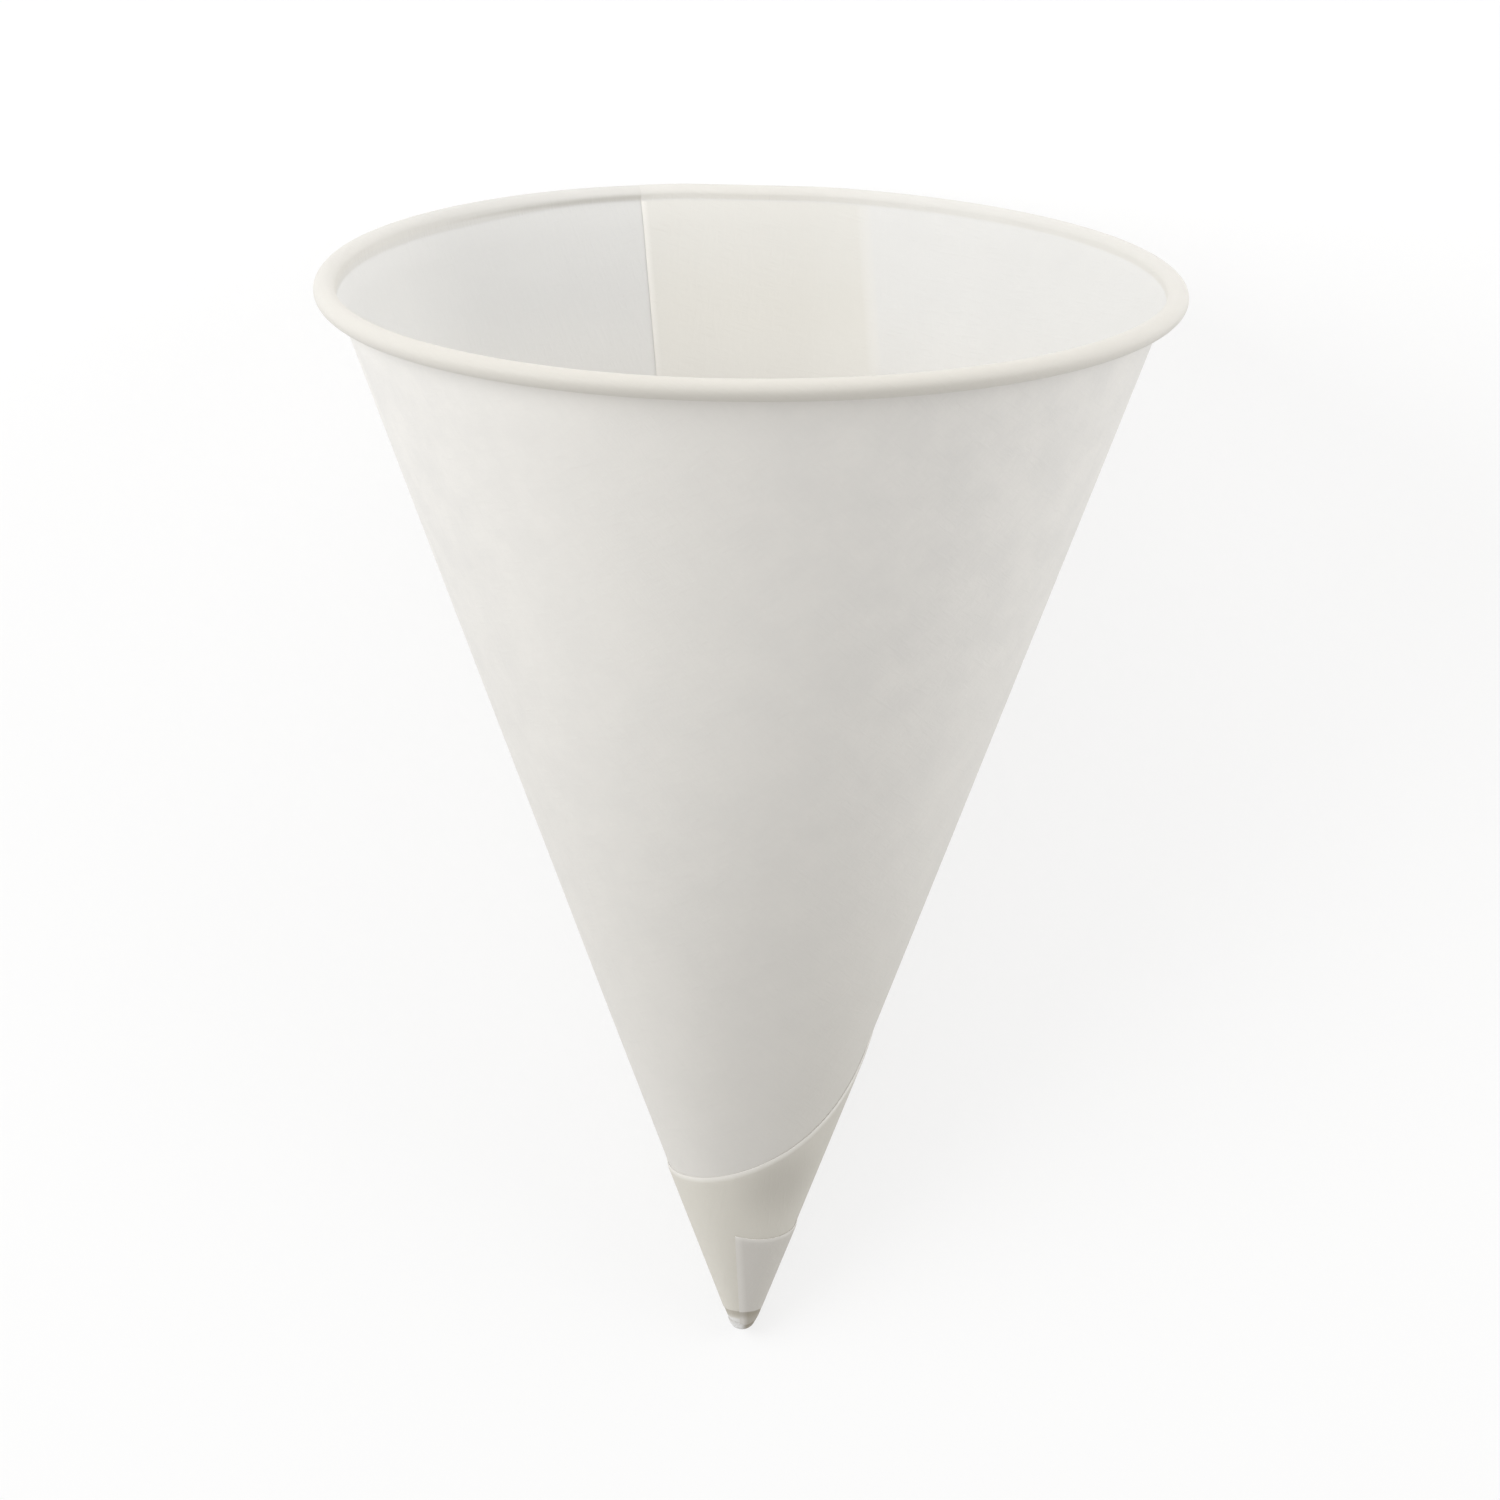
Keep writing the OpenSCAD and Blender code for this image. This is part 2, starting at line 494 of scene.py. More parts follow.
    def lay(self, point):
        """Turns a point of the upright cup, in millimetres, to where it lies, in metres."""
        lean, rise = math.cos(self.lean), math.sin(self.lean)
        laid = Vector((point.x, point.y * rise + point.z * lean, point.z * rise - point.y * lean))
        return (laid + self.apex) / MM


def smooth(share):
    """Rises smoothly from 0 to 1 as a share does."""
    share = max(0.0, min(1.0, share))
    return share * share * (3 - 2 * share)


def wavy(waves, angle):
    """Sum of waves at an angle. Each wave has a height, a number round the cup and a beginning."""
    return sum(height * math.sin(count * angle + begin) for height, count, begin in waves)


def trim(mesh, foot, distance, drop):
    """Cuts the flat sheet along a straight line that passes the apex at a distance.

    What lies beyond the line may be dropped.
    """
    way = Vector((math.cos(foot), math.sin(foot), 0.0))
    # Only faces less than a right angle away from the line's foot can meet it
    faces = []
    for face in mesh.faces:
        middle = face.calc_center_median()
        angle = math.atan2(middle.y, middle.x) % math.tau
        if abs(angle - foot) < math.radians(89):
            faces.append(face)
    edges = dict.fromkeys(edge for face in faces for edge in face.edges)
    verts = dict.fromkeys(vert for face in faces for vert in face.verts)
    bmesh.ops.bisect_plane(
        mesh,
        geom=[*verts, *edges, *faces],
        plane_co=way * distance,
        plane_no=way,
        clear_outer=drop,
    )


def flat_sheet(roll):
    """The flat sheet: a grid bent to a fan round the apex, trimmed along its straight cuts and thickened."""
    rows = roll.rows()
    top = len(rows) - 1
    mesh = bmesh.new()
    bmesh.ops.create_grid(mesh, x_segments=COLUMNS, y_segments=top, size=0.5)
    for vert in mesh.verts:
        turn = (vert.co.x + 0.5) * roll.fan
        s = rows[round((vert.co.y + 0.5) * top)]
        vert.co = (s * math.cos(turn), s * math.sin(turn), 0.0)
    trim(mesh, math.pi / 2, roll.skive, False)
    for foot, distance in ((roll.outer_foot, roll.outer_cut), (roll.tail_foot, roll.tail_cut)):
        trim(mesh, foot, distance, True)
        trim(mesh, foot, distance - roll.skive, False)
    bmesh.ops.remove_doubles(mesh, verts=mesh.verts, dist=MERGE)
    bmesh.ops.recalc_face_normals(mesh, faces=mesh.faces)
    bmesh.ops.solidify(mesh, geom=mesh.faces[:], thickness=roll.paper)
    return mesh


def paper_tones(roll, winding, s, depth):
    """Values of the paper's attributes at a point.

    They tell the plies under it and its side, the roll with its painted shade, the painted shade on the wall
    beside the lap, the painted shade on one side towards the tip, and the painted light on the upper front.
    """
    bearing = winding - roll.lap / 2
    degrees = math.degrees(bearing)
    return {
        "plies": roll.plies(winding, s),
        "outside": depth,
        # The roll's own tone, times its painted shade
        "rolled": smooth((s - roll.wall + roll.crease_at(bearing)) / 0.2) * roll.roll_shade(bearing),
        # Painted shade on the inside wall beside the lap
        "beside": smooth((degrees - 294) / 22),
        "side_shade": smooth((60 - s) / 45) * smooth((math.sin(bearing) - 0.1) / 0.8),
        "front_light": smooth((s - 40) / 40) * math.exp(-((degrees - 196) / 32) ** 2),
    }


def roll_up(mesh, roll):
    """Rolls the flat sheet into the cup, and keeps its flat chart and its attributes for the paper."""
    chart = mesh.loops.layers.uv.new("sheet")
    layers = {name: mesh.verts.layers.float.new(name) for name in TONES}
    mesh.normal_update()
    for face in mesh.faces:
        face.material_index = EDGE if abs(face.normal.z) < 0.5 else PAPER
        face.smooth = True
        for loop in face.loops:
            x, y, _ = loop.vert.co
            loop[chart].uv = (x / CHART + 0.5, y / CHART + 0.5)
    for vert in mesh.verts:
        x, y, z = vert.co
        depth = 1.0 if abs(z) > roll.paper / 2 else 0.0
        tones = paper_tones(roll, roll.wound(x, y), math.hypot(x, y), depth)
        for name, layer in layers.items():
            vert[layer] = tones[name]
        vert.co = roll.place(x, y, depth)
    if mesh.calc_volume(signed=True) < 0:
        bmesh.ops.reverse_faces(mesh, faces=mesh.faces)


def press_tip(mesh, roll):
    """The pressed end of the tip, which closes the cone: creased and round outside, and hollow inside."""
    width = 1.14
    height = 1.1
    hollow = -0.3
    # Folds round the end: depth, number, twist and beginning
    folds = ((0.025, 3, 2.4, 0.0), (0.015, 7, -3.0, 1.0))
    middle = roll.blunt + height
    made = bmesh.ops.create_uvsphere(mesh, u_segments=64, v_segments=40, radius=1.0)
    for vert in made["verts"]:
        x, y, z = vert.co
        around = math.atan2(y, x)
        creased = [(deep, count, twist * z + begin) for deep, count, twist, begin in folds]
        wide = width * (1 - wavy(creased, around) * (1 - z * z))
        rise = z if z < 0 else hollow * z
        vert.co = roll.lay(Vector((x * wide, y * wide, middle + height * rise)))
    for vert in made["verts"]:
        for face in vert.link_faces:
            face.material_index = END
            face.smooth = True


def add_node(tree, kind, name, **values):
    """Adds a node to a tree, with its settings and the values of its inputs."""
    node = tree.nodes.new(kind)
    node.name = node.label = name
    for key, value in values.items():
        if key in node.inputs:
            node.inputs[key].default_value = value
        else:
            setattr(node, key, value)
    return node


def new_group(name, inputs, outputs):
    """A shader node group with named sockets."""
    group = bpy.data.node_groups.new(name, "ShaderNodeTree")
    for label, kind, default in inputs:
        socket = group.interface.new_socket(label, in_out="INPUT", socket_type=kind)
        if default is not None:
            socket.default_value = default
    for label, kind in outputs:
        group.interface.new_socket(label, in_out="OUTPUT", socket_type=kind)
    start = group.nodes.new("NodeGroupInput")
    end = group.nodes.new("NodeGroupOutput")
    return group, start, end


def fibre_group():
    """Paper fibres: soft clouds of denser pulp, fine crossed fibres, rare specks, and their height."""
    group, start, end = new_group(
        "Paper fibres",
        (
            ("Vector", "NodeSocketVector", None),
            ("Cloud scale", "NodeSocketFloat", 0.2),
            ("Fibre scale", "NodeSocketFloat", 2.2),
            ("Speck scale", "NodeSocketFloat", 0.055),
        ),
        (
            ("Cloud", "NodeSocketFloat"),
            ("Fibre", "NodeSocketFloat"),
            ("Speck", "NodeSocketFloat"),
            ("Height", "NodeSocketFloat"),
        ),
    )
    link = group.links.new
    cloud = add_node(group, "ShaderNodeTexNoise", "Pulp clouds", Detail=5.0, Roughness=0.62)
    link(start.outputs["Vector"], cloud.inputs["Vector"])
    link(start.outputs["Cloud scale"], cloud.inputs["Scale"])
    strands = []
    for name, turn, slimness in (("Long fibres", 0.35, 0.16), ("Cross fibres", 1.75, 0.2)):
        lay = add_node(group, "ShaderNodeMapping", name + " direction", vector_type="TEXTURE")
        lay.inputs["Rotation"].default_value = (0.0, 0.0, turn)
        lay.inputs["Scale"].default_value = (1.0, 1.0 / slimness, 1.0)
        strand = add_node(group, "ShaderNodeTexNoise", name, Detail=3.0, Roughness=0.55, Distortion=0.4)
        link(start.outputs["Vector"], lay.inputs["Vector"])
        link(lay.outputs["Vector"], strand.inputs["Vector"])
        link(start.outputs["Fibre scale"], strand.inputs["Scale"])
        strands.append(strand)
    fibre = add_node(group, "ShaderNodeMath", "Crossed fibres", operation="MAXIMUM")
    link(strands[0].outputs["Fac"], fibre.inputs[0])
    link(strands[1].outputs["Fac"], fibre.inputs[1])
    spread = add_node(group, "ShaderNodeMapRange", "Fibre contrast")
    spread.inputs["From Min"].default_value = 0.42
    spread.inputs["From Max"].default_value = 0.78
    link(fibre.outputs["Value"], spread.inputs["Value"])
    cells = add_node(group, "ShaderNodeTexVoronoi", "Speck cells")
    link(start.outputs["Vector"], cells.inputs["Vector"])
    link(start.outputs["Speck scale"], cells.inputs["Scale"])
    dot = ramp(group, "Dot", cells.outputs["Distance"], 0.011, 0.004)
    pick = add_node(group, "ShaderNodeSeparateColor", "Pick")
    link(cells.outputs["Color"], pick.inputs["Color"])
    speck = multiply(group, "Rare specks", dot, ramp(group, "One in three", pick.outputs["Red"], 0.6, 0.7))
    link(speck, end.inputs["Speck"])
    # Clouds count for more than fibres in the height
    height = add_node(group, "ShaderNodeMath", "Height", operation="MULTIPLY_ADD")
    height.inputs[1].default_value = 1.6
    link(cloud.outputs["Fac"], height.inputs[0])
    link(spread.outputs["Result"], height.inputs[2])
    link(cloud.outputs["Fac"], end.inputs["Cloud"])
    link(spread.outputs["Result"], end.inputs["Fibre"])
    link(height.outputs["Value"], end.inputs["Height"])
    return group


def cut_group():
    """One side of a straight line on the flat sheet, as a mask with a soft edge."""
    group, start, end = new_group(
        "Straight cut",
        (
            ("Vector", "NodeSocketVector", None),
            ("Direction", "NodeSocketVector", (1.0, 0.0, 0.0)),
            ("Distance", "NodeSocketFloat", 17.9),
            ("Softness", "NodeSocketFloat", 0.5),
        ),
        (("Mask", "NodeSocketFloat"), ("Line", "NodeSocketFloat")),
    )
    link = group.links.new
    along = add_node(group, "ShaderNodeVectorMath", "Distance from the apex", operation="DOT_PRODUCT")
    link(start.outputs["Vector"], along.inputs[0])
    link(start.outputs["Direction"], along.inputs[1])
    short = add_node(group, "ShaderNodeMath", "Short of the line", operation="SUBTRACT")
    link(start.outputs["Distance"], short.inputs[0])
    link(along.outputs["Value"], short.inputs[1])
    share = add_node(group, "ShaderNodeMath", "In softness", operation="DIVIDE")
    link(short.outputs["Value"], share.inputs[0])
    link(start.outputs["Softness"], share.inputs[1])
    mask = add_node(group, "ShaderNodeMath", "Mask", operation="ADD", use_clamp=True)
    mask.inputs[1].default_value = 0.5
    link(share.outputs["Value"], mask.inputs[0])
    rest = add_node(group, "ShaderNodeMath", "Other side", operation="SUBTRACT")
    rest.inputs[0].default_value = 1.0
    link(mask.outputs["Value"], rest.inputs[1])
    line = add_node(group, "ShaderNodeMath", "Line", operation="MULTIPLY")
    link(mask.outputs["Value"], line.inputs[0])
    link(rest.outputs["Value"], line.inputs[1])
    link(mask.outputs["Value"], end.inputs["Mask"])
    link(line.outputs["Value"], end.inputs["Line"])
    return group


def new_material(name):
    """A material with its Principled shader."""
    material = bpy.data.materials.new(name)
    material.use_nodes = True
    tree = material.node_tree
    return material, tree, tree.nodes["Principled BSDF"]


def mix_colour(tree, name, factor, first, second, share=1.0):
    """Mixes two colours by a share of a factor socket. A colour is a socket or three numbers."""
    mix = add_node(tree, "ShaderNodeMix", name, data_type="RGBA", clamp_factor=True)
    if share != 1.0:
        scale = add_node(tree, "ShaderNodeMath", name + " share", operation="MULTIPLY")
        scale.inputs[1].default_value = share
        tree.links.new(factor, scale.inputs[0])
        factor = scale.outputs["Value"]
    tree.links.new(factor, mix.inputs["Factor"])
    for value, socket in ((first, mix.inputs[6]), (second, mix.inputs[7])):
        if isinstance(value, bpy.types.NodeSocket):
            tree.links.new(value, socket)
        else:
            socket.default_value = (*value, 1.0)
    return mix.outputs[2]


def multiply(tree, name, first, second):
    """Product of two value sockets."""
    node = add_node(tree, "ShaderNodeMath", name, operation="MULTIPLY", use_clamp=True)
    tree.links.new(first, node.inputs[0])
    tree.links.new(second, node.inputs[1])
    return node.outputs["Value"]


def invert(tree, name, value):
    """One less a value socket."""
    node = add_node(tree, "ShaderNodeMath", name, operation="SUBTRACT", use_clamp=True)
    node.inputs[0].default_value = 1.0
    tree.links.new(value, node.inputs[1])
    return node.outputs["Value"]


def ramp(tree, name, value, low, high):
    """Rises smoothly from nothing at a low value to one at a high value, or falls if low is the higher."""
    node = add_node(tree, "ShaderNodeMapRange", name, interpolation_type="SMOOTHSTEP")
    node.inputs["From Min"].default_value = min(low, high)
    node.inputs["From Max"].default_value = max(low, high)
    node.inputs["To Min"].default_value = 0.0 if low < high else 1.0
    node.inputs["To Max"].default_value = 1.0 if low < high else 0.0
    tree.links.new(value, node.inputs["Value"])
    return node.outputs["Result"]


def cut_masks(tree, cuts, flat, name, angle, distance, softness):
    """Mask and line of a straight cut, square to an angle on the flat sheet."""
    node = add_node(tree, "ShaderNodeGroup", name, node_tree=cuts)
    node.inputs["Direction"].default_value = (math.cos(angle), math.sin(angle), 0.0)
    node.inputs["Distance"].default_value = distance
    node.inputs["Softness"].default_value = softness
    tree.links.new(flat, node.inputs["Vector"])
    return node.outputs["Mask"], node.outputs["Line"]


def attribute(tree, label, name):
    """Value socket of one of the mesh's attributes."""
    return add_node(tree, "ShaderNodeAttribute", label, attribute_name=name).outputs["Fac"]


def flat_place(tree):
    """Place on the flat sheet, from the apex, in millimetres."""
    chart = add_node(tree, "ShaderNodeUVMap", "Flat sheet", uv_map="sheet")
    centre = add_node(tree, "ShaderNodeVectorMath", "From the apex", operation="SUBTRACT")
    centre.inputs[1].default_value = (0.5, 0.5, 0.0)
    scale = add_node(tree, "ShaderNodeVectorMath", "In millimetres", operation="SCALE", Scale=CHART)
    tree.links.new(chart.outputs["UV"], centre.inputs[0])
    tree.links.new(centre.outputs["Vector"], scale.inputs[0])
    return scale.outputs["Vector"]


def object_place(tree):
    """Place in the piece's own coordinates, in millimetres."""
    where = add_node(tree, "ShaderNodeTexCoord", "Place")
    scale = add_node(tree, "ShaderNodeVectorMath", "In millimetres", operation="SCALE", Scale=MM)
    tree.links.new(where.outputs["Object"], scale.inputs[0])
    return scale.outputs["Vector"]


def add_pulp(tree, fibres, place, **scales):
    """The paper fibres at a place, with scales of their own where they are given."""
    pulp = add_node(tree, "ShaderNodeGroup", "Fibres", node_tree=fibres)
    for name, scale in scales.items():
        pulp.inputs[name.capitalize() + " scale"].default_value = scale
    tree.links.new(place, pulp.inputs["Vector"])
    return pulp


def vary_roughness(tree, shader, name, value, low, high):
    """Roughness that follows a value socket from low to high."""
    rough = add_node(tree, "ShaderNodeMapRange", name)
    rough.inputs["To Min"].default_value = low
    rough.inputs["To Max"].default_value = high
    tree.links.new(value, rough.inputs["Value"])
    tree.links.new(rough.outputs["Result"], shader.inputs["Roughness"])


def add_grain(tree, shader, pulp, name, strength, distance):
    """Bump from the height of the paper fibres."""
    bump = add_node(tree, "ShaderNodeBump", name, Strength=strength, Distance=distance)
    tree.links.new(pulp.outputs["Height"], bump.inputs["Height"])
    tree.links.new(bump.outputs["Normal"], shader.inputs["Normal"])


def paper_masks(tree, roll, flat, cuts):
    """Masks of the paper by name: its sides and turns, its lap and borders, and marks at its rim and tip.

    Some of them say where light and shade are painted.
    """
    masks = {}
    distance = add_node(tree, "ShaderNodeVectorMath", "Distance from the apex", operation="LENGTH")
    tree.links.new(flat, distance.inputs[0])
    away = distance.outputs["Value"]

    # Sides and turns of the sheet, and painted shade on the outside towards the tip and on one side
    plies = attribute(tree, "Plies under", "plies")
    outside = attribute(tree, "Outside", "outside")
    inside = invert(tree, "Inside", outside)
    second = multiply(tree, "Second turn outside", ramp(tree, "Second turn", plies, 0.5, 0.9), outside)
    third = multiply(tree, "Third turn outside", ramp(tree, "Third turn", plies, 1.5, 1.9), outside)
    near = ramp(tree, "Soaked near the tip", away, 46.0, 14.0)
    masks["inside"] = inside
    masks["third"] = third
    masks["soaked"] = multiply(tree, "Soaked second turn", second, near)
    masks["low"] = multiply(tree, "Low outside", ramp(tree, "Low", away, 105.0, 15.0), outside)
    masks["side_shade"] = multiply(tree, "Dull side outside", attribute(tree, "Dull side", "side_shade"), outside)

    # Roll, and the wall that ends under it, with painted light on its upper front,
    # and painted shade inside near the roll and painted light deeper in
    masks["rolled"] = attribute(tree, "On the roll", "rolled")
    short = ramp(tree, "Short of the roll", away, roll.wall - 0.5, roll.wall - 0.7)
    under = multiply(tree, "Under the roll", inside, short)
    front_light = multiply(tree, "Fair wall", attribute(tree, "Fair front", "front_light"), short)
    masks["front_light"] = multiply(tree, "Fair front outside", front_light, outside)
    masks["rimward"] = multiply(tree, "Rimward inside", ramp(tree, "Rimward", away, 88.0, 97.0), under)
    masks["deep"] = multiply(tree, "Deep inside", ramp(tree, "Deep", away, 92.0, 84.0), under)

    # Lap: the ply behind and its edge, painted shade on the wall beside the lap,
    # and the border of the inner side
    behind = roll.outer_foot - math.tau * roll.squash
    mask, line = cut_masks(tree, cuts, flat, "Ply behind", behind, roll.outer_cut, 1.4)
    masks["backed"] = multiply(tree, "Backed inside", mask, under)
    masks["shown"] = multiply(tree, "Edge shown through", line, under)
    beside = multiply(tree, "Beside the lap inside", attribute(tree, "Beside the lap", "beside"), inside)
    masks["beside"] = beside
    mask, _ = cut_masks(tree, cuts, flat, "Inner border", math.pi / 2, 0.36, 0.4)
    inner = multiply(tree, "Inner border inside", mask, invert(tree, "On the lap", beside))
    masks["inner"] = multiply(tree, "Inner border under the roll", inner, under)

    # Pale borders along the outer cut, the tail cut and the tail's end
    mask, _ = cut_masks(tree, cuts, flat, "Outer border", roll.outer_foot, roll.outer_cut - 0.3, 0.35)
    masks["outer"] = multiply(tree, "Outer border outside", invert(tree, "Outer rim", mask), second)
    mask, _ = cut_masks(tree, cuts, flat, "Tail border", roll.tail_foot, roll.tail_cut - 0.22, 0.3)
    masks["tail"] = multiply(tree, "Tail border outside", invert(tree, "Tail rim", mask), third)
    mask, _ = cut_masks(tree, cuts, flat, "Tail end", roll.fan + math.pi / 2, -0.42, 0.4)
    masks["tail_end"] = multiply(tree, "Tail end outside", invert(tree, "Tail end rim", mask), third)

    # Painted shade in the dent under the seam, round one spot
    spot_s = 17.6
    spot_turn = math.radians(523.0) * roll.squash
    spot = add_node(tree, "ShaderNodeVectorMath", "From the stain", operation="DISTANCE")
    spot.inputs[1].default_value = (spot_s * math.cos(spot_turn), spot_s * math.sin(spot_turn), 0.0)
    tree.links.new(flat, spot.inputs[0])
    dark_shade = ramp(tree, "Stain", spot.outputs["Value"], 5.2, 0.6)
    masks["dark_shade"] = multiply(tree, "Stain outside", dark_shade, second)

    # Under the tip's ledge: a band of painted shade, the pale end of the paper, and painted shade on the tail
    below = ramp(tree, "Below the ledge", away, roll.ledge, roll.ledge - 0.12)
    above = ramp(tree, "Above the end", away, roll.ledge - 1.0, roll.ledge - 0.3)
    masks["ledge_shade"] = multiply(tree, "Worn", multiply(tree, "Worn band", below, above), outside)
    pale = ramp(tree, "Pale end", away, roll.ledge - 0.7, roll.ledge - 1.0)
    masks["pale"] = multiply(tree, "Pale end beside the tail", pale, invert(tree, "Off the tail", third))
    tail_shade = multiply(tree, "Under the ledge", below, third)
    masks["tail_shade"] = multiply(tree, "Soiled tail", tail_shade, invert(tree, "Off its end", masks["tail_end"]))
    return masks


def paper_material(colours, roll, fibres, cuts):
    """Smooth off-white cup paper, warmer where plies lie behind it, and paler along its cut borders.

    Light and shade are painted on it at fixed places.
    """
    material, tree, shader = new_material("cup_paper")
    flat = flat_place(tree)
    pulp = add_pulp(tree, fibres, flat)
    masks = paper_masks(tree, roll, flat, cuts)
    masks["fibre"] = pulp.outputs["Fibre"]
    masks["speck"] = pulp.outputs["Speck"]
    clouds = ramp(tree, "Clouds", pulp.outputs["Cloud"], 0.25, 0.75)
    colour = mix_colour(tree, "Clouded paper", clouds, colours.paper, colours.cloud)
    for name, mask, tone, share in COATS:
        colour = mix_colour(tree, name, masks[mask], colour, getattr(colours, tone), share)
    tree.links.new(colour, shader.inputs["Base Color"])
    vary_roughness(tree, shader, "Roughness", pulp.outputs["Cloud"], 0.46, 0.62)
    shader.inputs["Specular IOR Level"].default_value = 0.3
    add_grain(tree, shader, pulp, "Paper grain", 0.25, 0.00006)
    return material


def edge_material(colours, fibres):
    """Raw cut edge of the paper, paler and softer than its faces."""
    material, tree, shader = new_material("cut_edge")
    pulp = add_pulp(tree, fibres, object_place(tree), fibre=5.0)
    colour = mix_colour(tree, "Fuzz", pulp.outputs["Fibre"], colours.edge, colours.paper, 0.6)
    tree.links.new(colour, shader.inputs["Base Color"])
    shader.inputs["Roughness"].default_value = 0.85
    shader.inputs["Specular IOR Level"].default_value = 0.2
    add_grain(tree, shader, pulp, "Fuzz bump", 0.4, 0.00004)
    return material


def tip_material(colours, roll, fibres):
    """Glazed pressed end of the tip, with painted shade on one side and in a broken gap below the paper."""
    material, tree, shader = new_material("pressed_tip")
    link = tree.links.new
    place = object_place(tree)
    pulp = add_pulp(tree, fibres, place, cloud=0.9, fibre=3.0)
    centre = add_node(tree, "ShaderNodeVectorMath", "From the apex", operation="SUBTRACT")
    centre.inputs[1].default_value = roll.apex
    link(place, centre.inputs[0])
    along = add_node(tree, "ShaderNodeVectorMath", "Height on the axis", operation="DOT_PRODUCT")
    along.inputs[1].default_value = (0.0, math.cos(roll.lean), math.sin(roll.lean))
    link(centre.outputs["Vector"], along.inputs[0])
    across = add_node(tree, "ShaderNodeSeparateXYZ", "Across")
    link(centre.outputs["Vector"], across.inputs["Vector"])
    # Painted shade on one side of the tip's end
    shade = ramp(tree, "Shaded side", across.outputs["X"], -0.15, 0.45)
    # Painted shade in the gap between the end of the paper and the glazed tip
    gap = ramp(tree, "Gap", along.outputs["Value"], roll.blunt + 0.7, roll.blunt + 1.0)
    gap = multiply(tree, "Broken gap", gap, ramp(tree, "Patches", pulp.outputs["Cloud"], 0.40, 0.52))
    colour = mix_colour(tree, "Cloudy wax", pulp.outputs["Cloud"], colours.wax, colours.turn, 0.5)
    colour = mix_colour(tree, "Shaded wax", shade, colour, colours.gap, 0.9)
    colour = mix_colour(tree, "Dark gap", gap, colour, colours.gap, 0.3)
    link(colour, shader.inputs["Base Color"])
    vary_roughness(tree, shader, "Glaze", pulp.outputs["Fibre"], 0.25, 0.45)
    shader.inputs["Specular IOR Level"].default_value = 0.2
    add_grain(tree, shader, pulp, "Pressed folds", 0.4, 0.0002)
    return material


class PAPERCUP_OT_cup(bpy.types.Operator):
    """Roll the cup from its flat sheet"""

    bl_idname = "papercup.cup"
    bl_label = "Roll Cup"
    bl_options = {"REGISTER", "UNDO"}

    def execute(self, context):
        scene = context.scene
        roll = Roll(scene.cup_sizes)
        sheet = flat_sheet(roll)
        roll_up(sheet, roll)
        press_tip(sheet, roll)
        mesh = bpy.data.meshes.new("paper_cup")
        sheet.to_mesh(mesh)
        sheet.free()
        if not mesh.polygons:
            raise RuntimeError("the sheet has no faces")
        mesh.set_sharp_from_angle(angle=math.radians(50))
        fibres = fibre_group()
        mesh.materials.append(paper_material(scene.cup_colours, roll, fibres, cut_group()))
        mesh.materials.append(edge_material(scene.cup_colours, fibres))
        mesh.materials.append(tip_material(scene.cup_colours, roll, fibres))
        cup = bpy.data.objects.new("paper_cup", mesh)
        scene.collection.objects.link(cup)
        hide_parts("cup")
        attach(cup, "root")
        return {"FINISHED"}


def floor_material(colours):
    """Plain white floor, on which the camera sees the cup's shadow at part strength."""
    white_share = 0.7
    material, tree, shader = new_material("white_floor")
    link = tree.links.new
    where = add_node(tree, "ShaderNodeTexCoord", "Place")
    grain = add_node(tree, "ShaderNodeTexNoise", "Faint grain", Scale=9.0, Detail=4.0)
    link(where.outputs["Object"], grain.inputs["Vector"])
    tone = [0.985 * value for value in colours.floor]
    colour = mix_colour(tree, "Floor tone", grain.outputs["Fac"], colours.floor, tone)
    link(colour, shader.inputs["Base Color"])
    shader.inputs["Roughness"].default_value = 0.9
    shader.inputs["Specular IOR Level"].default_value = 0.1
    glow = add_node(tree, "ShaderNodeEmission", "White ground", Strength=1.0)
    paths = add_node(tree, "ShaderNodeLightPath", "Rays")
    share = add_node(tree, "ShaderNodeMath", "Share of white", operation="MULTIPLY")
    share.inputs[1].default_value = white_share
    link(paths.outputs["Is Camera Ray"], share.inputs[0])
    mix = add_node(tree, "ShaderNodeMixShader", "Ground and shadow")
    link(share.outputs["Value"], mix.inputs[0])
    link(shader.outputs["BSDF"], mix.inputs[1])
    link(glow.outputs["Emission"], mix.inputs[2])
    link(mix.outputs["Shader"], tree.nodes["Material Output"].inputs["Surface"])
    return material


def add_floor(scene):
    """The wide floor that the cup lies on."""
    ground = bmesh.new()
    bmesh.ops.create_grid(ground, x_segments=2, y_segments=2, size=4.0)
    mesh = bpy.data.meshes.new("floor")
    ground.to_mesh(mesh)
    ground.free()
    mesh.materials.append(floor_material(scene.cup_colours))
    floor = bpy.data.objects.new("floor", mesh)
    scene.collection.objects.link(floor)


def add_lamp(scene, name, place, size, watts, colour):
    """A square soft lamp at a place, turned to the cup."""
    lamp = bpy.data.lights.new(name, "AREA")
    lamp.shape = "SQUARE"
    lamp.size = size
    lamp.energy = watts
    lamp.color = colour
    holder = bpy.data.objects.new(name, lamp)
    holder.location = place
    holder.rotation_euler = (Vector(LAMP_AIM) - Vector(place)).to_track_quat("-Z", "Y").to_euler()
    scene.collection.objects.link(holder)


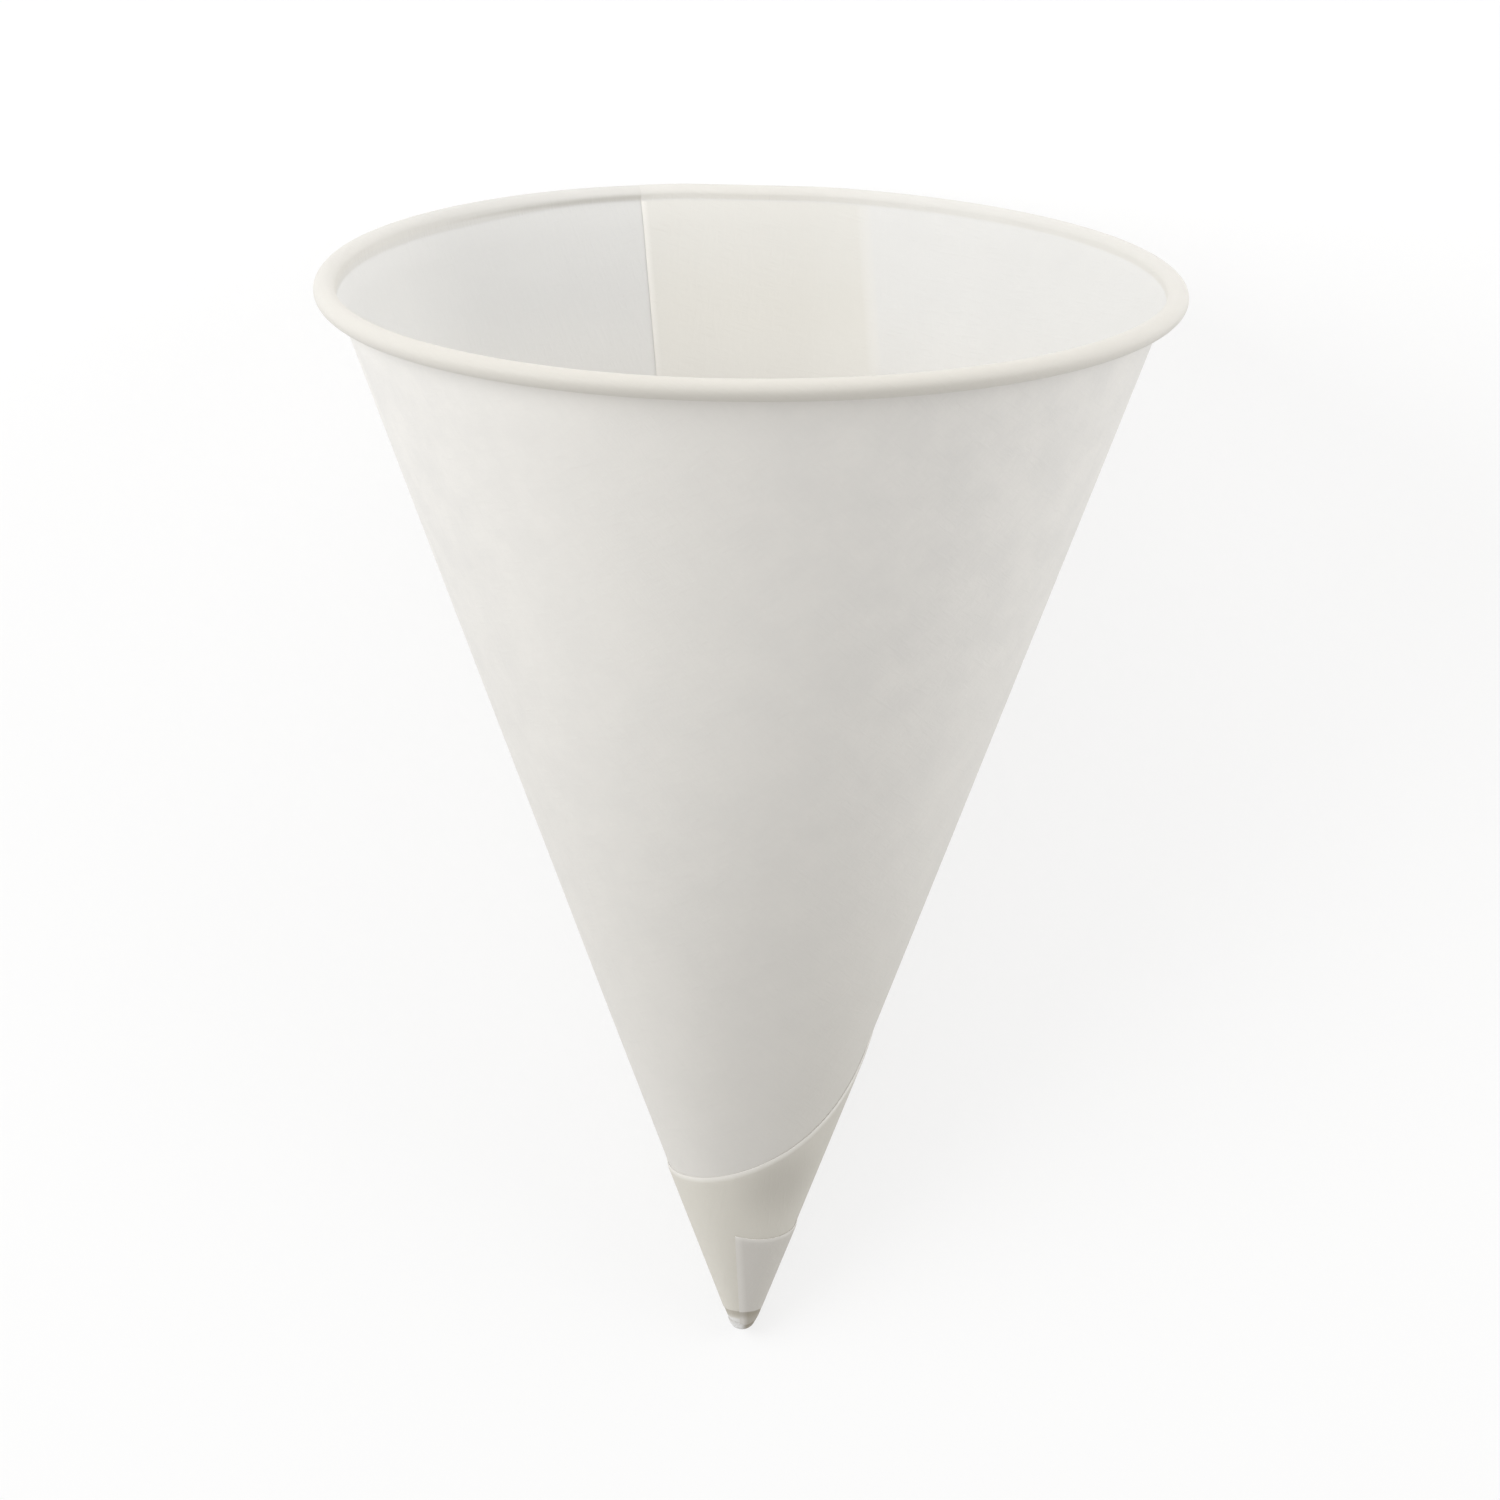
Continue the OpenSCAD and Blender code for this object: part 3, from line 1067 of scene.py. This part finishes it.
def set_world(scene):
    """A soft warm light from all sides, which is plain white where it is seen or mirrored."""
    light = 0.58
    warm = (1.0, 0.985, 0.965)
    white = (1.0, 1.0, 1.0)
    world = bpy.data.worlds.new("studio")
    world.use_nodes = True
    tree = world.node_tree
    link = tree.links.new
    back = tree.nodes["Background"]
    paths = add_node(tree, "ShaderNodeLightPath", "Rays")
    seen = add_node(tree, "ShaderNodeMath", "Seen or mirrored", operation="MAXIMUM")
    link(paths.outputs["Is Camera Ray"], seen.inputs[0])
    link(paths.outputs["Is Glossy Ray"], seen.inputs[1])
    clear = add_node(tree, "ShaderNodeMath", "Or through glass", operation="MAXIMUM")
    link(seen.outputs["Value"], clear.inputs[0])
    link(paths.outputs["Is Transmission Ray"], clear.inputs[1])
    level = add_node(tree, "ShaderNodeMapRange", "Level")
    level.inputs["To Min"].default_value = light
    level.inputs["To Max"].default_value = 1.0
    link(clear.outputs["Value"], level.inputs["Value"])
    link(level.outputs["Result"], back.inputs["Strength"])
    link(mix_colour(tree, "Tint", clear.outputs["Value"], warm, white), back.inputs["Color"])
    scene.world = world


def set_camera(scene):
    """The camera, which looks down on the lying cup as the photograph looks at the held one."""
    lean = math.radians(4.83)
    roll = math.radians(0.52)
    distance = 0.8
    target = Vector((0.0, -0.009484, 0.016166))
    aim_up = 0.0085
    aim_right = 0.00024
    away = Vector((0.0, -math.sin(lean), math.cos(lean)))
    right = Vector((1.0, 0.0, 0.0))
    up = Vector((0.0, math.cos(lean), math.sin(lean)))
    place = target + distance * away
    aim = target + aim_up * up + aim_right * right
    back = (place - aim).normalized()
    level = up.cross(back).normalized()
    upright = back.cross(level)
    side = level * math.cos(roll) + upright * math.sin(roll)
    top = upright * math.cos(roll) - level * math.sin(roll)
    camera = bpy.data.cameras.new("camera")
    camera.sensor_width = 36.0
    camera.lens = 227.6
    camera.clip_start = 0.01
    camera.clip_end = 50.0
    holder = bpy.data.objects.new("camera", camera)
    holder.matrix_world = Matrix((side, top, back)).transposed().to_4x4()
    holder.location = place
    scene.collection.objects.link(holder)
    scene.camera = holder


class PAPERCUP_OT_stage(bpy.types.Operator):
    """Lay out the floor, the lamps, the world and the camera"""

    bl_idname = "papercup.stage"
    bl_label = "Set Stage"
    bl_options = {"REGISTER", "UNDO"}

    def execute(self, context):
        scene = context.scene
        add_floor(scene)
        for name, place, size, watts, colour in LAMPS:
            add_lamp(scene, name, place, size, watts, colour)
        set_world(scene)
        set_camera(scene)
        scene.view_settings.view_transform = "Standard"
        return {"FINISHED"}


class PAPERCUP_PT_panel(bpy.types.Panel):
    """Lists the cup's operators, sizes and colours"""

    bl_idname = "PAPERCUP_PT_panel"
    bl_label = "Paper Cup"
    bl_space_type = "VIEW_3D"
    bl_region_type = "UI"
    bl_category = "Paper Cup"

    def draw(self, context):
        column = self.layout.column()
        column.operator(PAPERCUP_OT_cup.bl_idname)
        column.operator(PAPERCUP_OT_stage.bl_idname)
        for group in (context.scene.cup_sizes, context.scene.cup_colours):
            for name in group.bl_rna.properties.keys():
                if name not in {"rna_type", "name"}:
                    column.prop(group, name)


CLASSES = (CupSizes, CupColours, PAPERCUP_OT_cup, PAPERCUP_OT_stage, PAPERCUP_PT_panel)


def register():
    """Registers the classes and the scene's groups of sizes and colours."""
    for item in CLASSES:
        bpy.utils.register_class(item)
    bpy.types.Scene.cup_sizes = PointerProperty(type=CupSizes)
    bpy.types.Scene.cup_colours = PointerProperty(type=CupColours)


def unregister():
    """Takes the groups and the classes away again."""
    del bpy.types.Scene.cup_colours
    del bpy.types.Scene.cup_sizes
    for item in reversed(CLASSES):
        bpy.utils.unregister_class(item)


def main():
    register()
    bpy.ops.papercup.cup()
    bpy.ops.papercup.stage()


if __name__ == "__main__":
    main()
